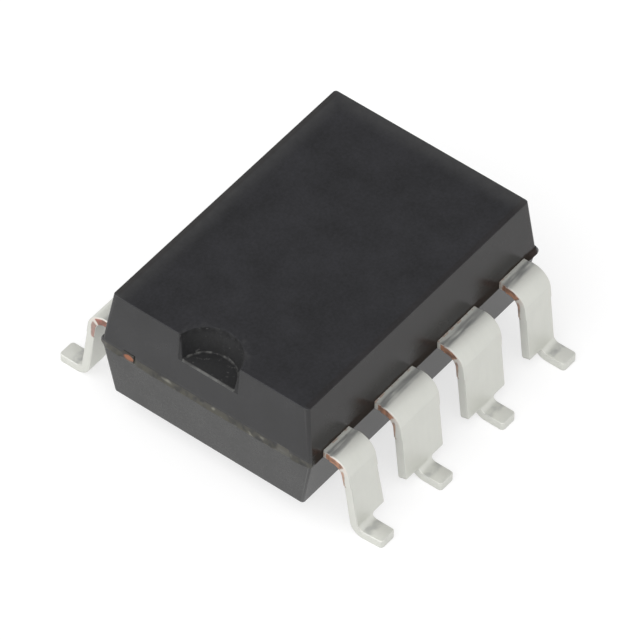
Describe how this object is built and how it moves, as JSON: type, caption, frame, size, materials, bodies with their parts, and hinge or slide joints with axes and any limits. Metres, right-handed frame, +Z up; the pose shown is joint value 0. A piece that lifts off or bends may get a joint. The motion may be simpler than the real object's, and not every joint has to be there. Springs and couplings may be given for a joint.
{
  "type": "optocoupler",
  "caption": "Black moulded optocoupler with an index notch at one end and tin-plated gull-wing leads along both long sides, for surface mounting on a circuit board.",
  "frame": {"origin": "on the board, under the middle of the package", "axes": "+X along the package away from the index notch, +Y across it towards leads 5 to 8, +Z up from the board"},
  "size_m": [0.0094, 0.01, 0.0042],
  "materials": {
    "moulding": "satin black epoxy",
    "tin_lead": "matte tin plate over copper, bare copper at the sheared edges",
    "emitter_chip": "sawn chip",
    "cell_chip": "polished silicon",
    "clear_silicone": "clear gel",
    "gold_wire": "bright gold"
  },
  "bodies": {
    "root": {"body": "moulding", "lead_1": "tin_lead", "lead_2": "tin_lead", "lead_3": "tin_lead", "lead_4": "tin_lead", "lead_5": "tin_lead", "lead_6": "tin_lead", "lead_7": "tin_lead", "lead_8": "tin_lead", "led_a": "emitter_chip", "led_b": "emitter_chip", "cell_a": "cell_chip", "cell_b": "cell_chip", "light_guide_a": "clear_silicone", "light_guide_b": "clear_silicone", "led_wire_a": "gold_wire", "led_wire_b": "gold_wire", "cell_inner_wire_a": "gold_wire", "cell_inner_wire_b": "gold_wire", "cell_outer_wire_a": "gold_wire", "cell_outer_wire_b": "gold_wire"}
  },
  "joints": []
}
